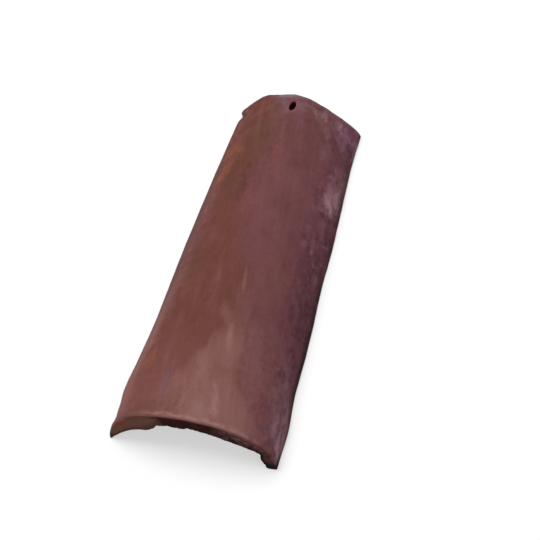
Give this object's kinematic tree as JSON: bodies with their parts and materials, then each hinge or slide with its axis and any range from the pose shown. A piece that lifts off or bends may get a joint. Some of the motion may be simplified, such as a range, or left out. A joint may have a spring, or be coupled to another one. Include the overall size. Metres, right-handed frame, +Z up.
{
  "type": "barrel roof tile",
  "caption": "Tapered half-round roof tile of fired clay, with an oblong nail hole in its crown near the narrow end.",
  "frame": {"origin": "on the ground plane under the middle of the tile, where its two long edges rest", "axes": "+X across the tile, +Y along its crown from the wide tail to the narrow head, +Z up through the crown"},
  "size_m": [0.1894, 0.46, 0.0739],
  "materials": {
    "clay": "matt fired clay, purple-brown with ochre and mauve clouds, lengthwise smoothing streaks and pale scuffs"
  },
  "bodies": {
    "root": {"barrel_tile": "clay"}
  },
  "joints": []
}
